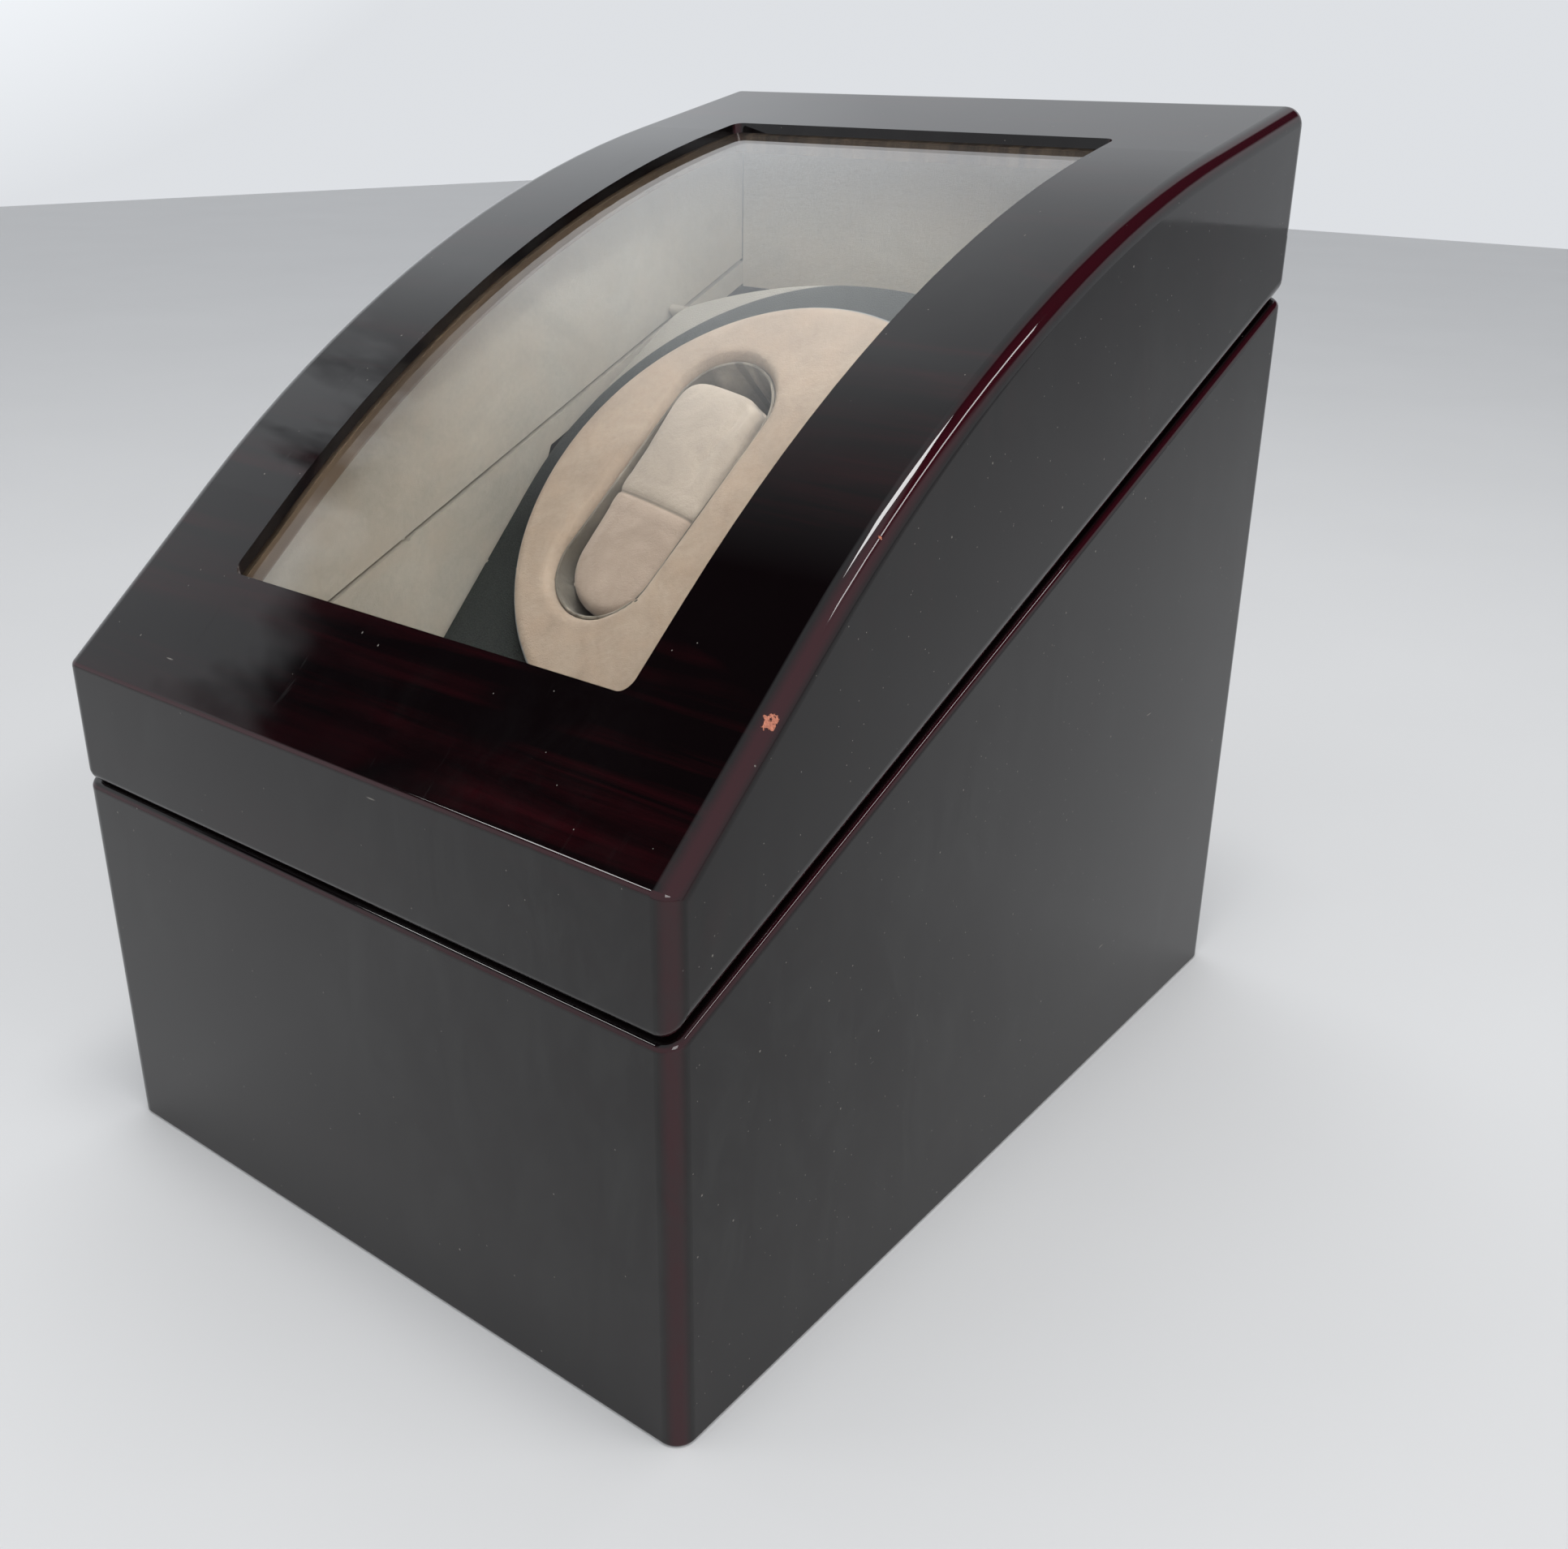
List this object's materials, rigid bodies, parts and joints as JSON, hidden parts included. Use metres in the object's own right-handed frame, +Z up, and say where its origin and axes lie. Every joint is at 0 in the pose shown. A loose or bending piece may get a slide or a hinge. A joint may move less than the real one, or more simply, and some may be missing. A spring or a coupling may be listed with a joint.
{
  "type": "watch winder box",
  "caption": "Lidded watch winder box with a curved glass window, a sloping turntable with cushion pockets and a geared motor drive.",
  "frame": {"origin": "middle of the base's footprint, on the surface the box stands on", "axes": "+Z up, front of the box at -Y, back with hinges and controls at +Y, +X to the right seen from the front"},
  "size_m": [0.2, 0.2721, 0.2658],
  "materials": {
    "lacquer": "high-gloss dark burgundy lacquer over figured veneer",
    "suede_lining": "beige suede cloth on board",
    "suede_facing": "warm beige suede cloth",
    "suede_cushion": "beige suede cloth over foam",
    "deck_flock": "black flocked board",
    "board": "bare fibreboard",
    "felt": "black felt",
    "table_plastic": "grey moulded plastic",
    "gear_plastic": "natural white plastic",
    "steel": "plain steel",
    "brass": "polished brass",
    "black_plastic": "black moulded plastic",
    "switch_body": "moulded plastic",
    "led_lens": "tinted lens",
    "board_green": "printed circuit board",
    "window_glass": "clear bent glass",
    "bead_wood": "stained hardwood strip",
    "clear_rubber": "clear soft dots"
  },
  "bodies": {
    "base": {"base_shell": "lacquer", "base_lining_left": "suede_lining", "base_lining_right": "suede_lining", "base_lining_front": "suede_lining", "front_shelf": "suede_lining", "rear_cover": "suede_lining", "winder_deck": "deck_flock", "bottom_board": "board", "deck_cleats": "board", "base_felt": "felt", "board_standoffs": "gear_plastic", "motor_bracket": "steel", "bracket_posts": "steel", "bracket_screws": "steel", "motor_can": "steel", "plate_screws": "steel", "spindle_bush": "brass", "hinge_base_leaves": "brass", "hinge_pins": "brass", "hinge_base_screws": "brass", "gearbox_case": "black_plastic", "control_plate": "black_plastic", "dc_jack": "black_plastic", "rocker_housing": "black_plastic", "mode_switch": "switch_body", "power_led": "led_lens", "circuit_board": "board_green", "lid_dots": "clear_rubber"},
    "lid": {"lid_shell": "lacquer", "window_glass": "window_glass", "glass_bead_left": "bead_wood", "glass_bead_right": "bead_wood", "glass_bead_front": "bead_wood", "glass_bead_back": "bead_wood", "lid_lining_left": "suede_lining", "lid_lining_right": "suede_lining", "lid_lining_front": "suede_lining", "lid_lining_back": "suede_lining", "hinge_lid_leaves": "brass", "hinge_lid_screws": "brass"},
    "turntable": {"turntable_drum": "table_plastic", "turntable_facing": "suede_facing", "pocket_liner_left": "suede_lining", "pocket_liner_right": "suede_lining", "turntable_spindle": "steel", "driven_gear": "gear_plastic", "thrust_washer": "gear_plastic", "spindle_clip": "steel"},
    "cushion_left": {"watch_cushion_left": "suede_cushion"},
    "cushion_right": {"watch_cushion_right": "suede_cushion"},
    "pinion": {"motor_pinion": "brass", "pinion_shaft": "steel"},
    "rocker": {"power_rocker": "black_plastic"},
    "knob": {"mode_knob": "black_plastic", "mode_shaft": "steel"}
  },
  "joints": [
    {"name": "lid_hinge", "type": "hinge", "parent": "base", "child": "lid", "pos_m": [0, 0.1361, 0.2167], "axis": [-1, 0, 0], "range_deg": [0, 95]},
    {"name": "turntable_spin", "type": "hinge", "parent": "base", "child": "turntable", "pos_m": [0, 0.0064, 0.1588], "axis": [0, -0.7193, 0.6947], "continuous": true},
    {"name": "cushion_left_lift", "type": "slide", "parent": "turntable", "child": "cushion_left", "axis": [0, -0.7193, 0.6947], "range_m": [0, 0.038]},
    {"name": "cushion_right_lift", "type": "slide", "parent": "turntable", "child": "cushion_right", "axis": [0, -0.7193, 0.6947], "range_m": [0, 0.038]},
    {"name": "pinion_spin", "type": "hinge", "parent": "base", "child": "pinion", "pos_m": [0, 0.01697, 0.09632], "axis": [0, -0.7193, 0.6947], "continuous": true},
    {"name": "rocker_tilt", "type": "hinge", "parent": "base", "child": "rocker", "pos_m": [-0.002, 0.12335, 0.058], "axis": [-1, 0, 0], "range_deg": [0, 22]},
    {"name": "mode_turn", "type": "hinge", "parent": "base", "child": "knob", "pos_m": [-0.026, 0.12335, 0.058], "axis": [0, -1, 0], "range_deg": [0, 135]}
  ],
  "couplings": [
    {"joint": "pinion_spin", "follows": "turntable_spin", "ratio": -4}
  ]
}
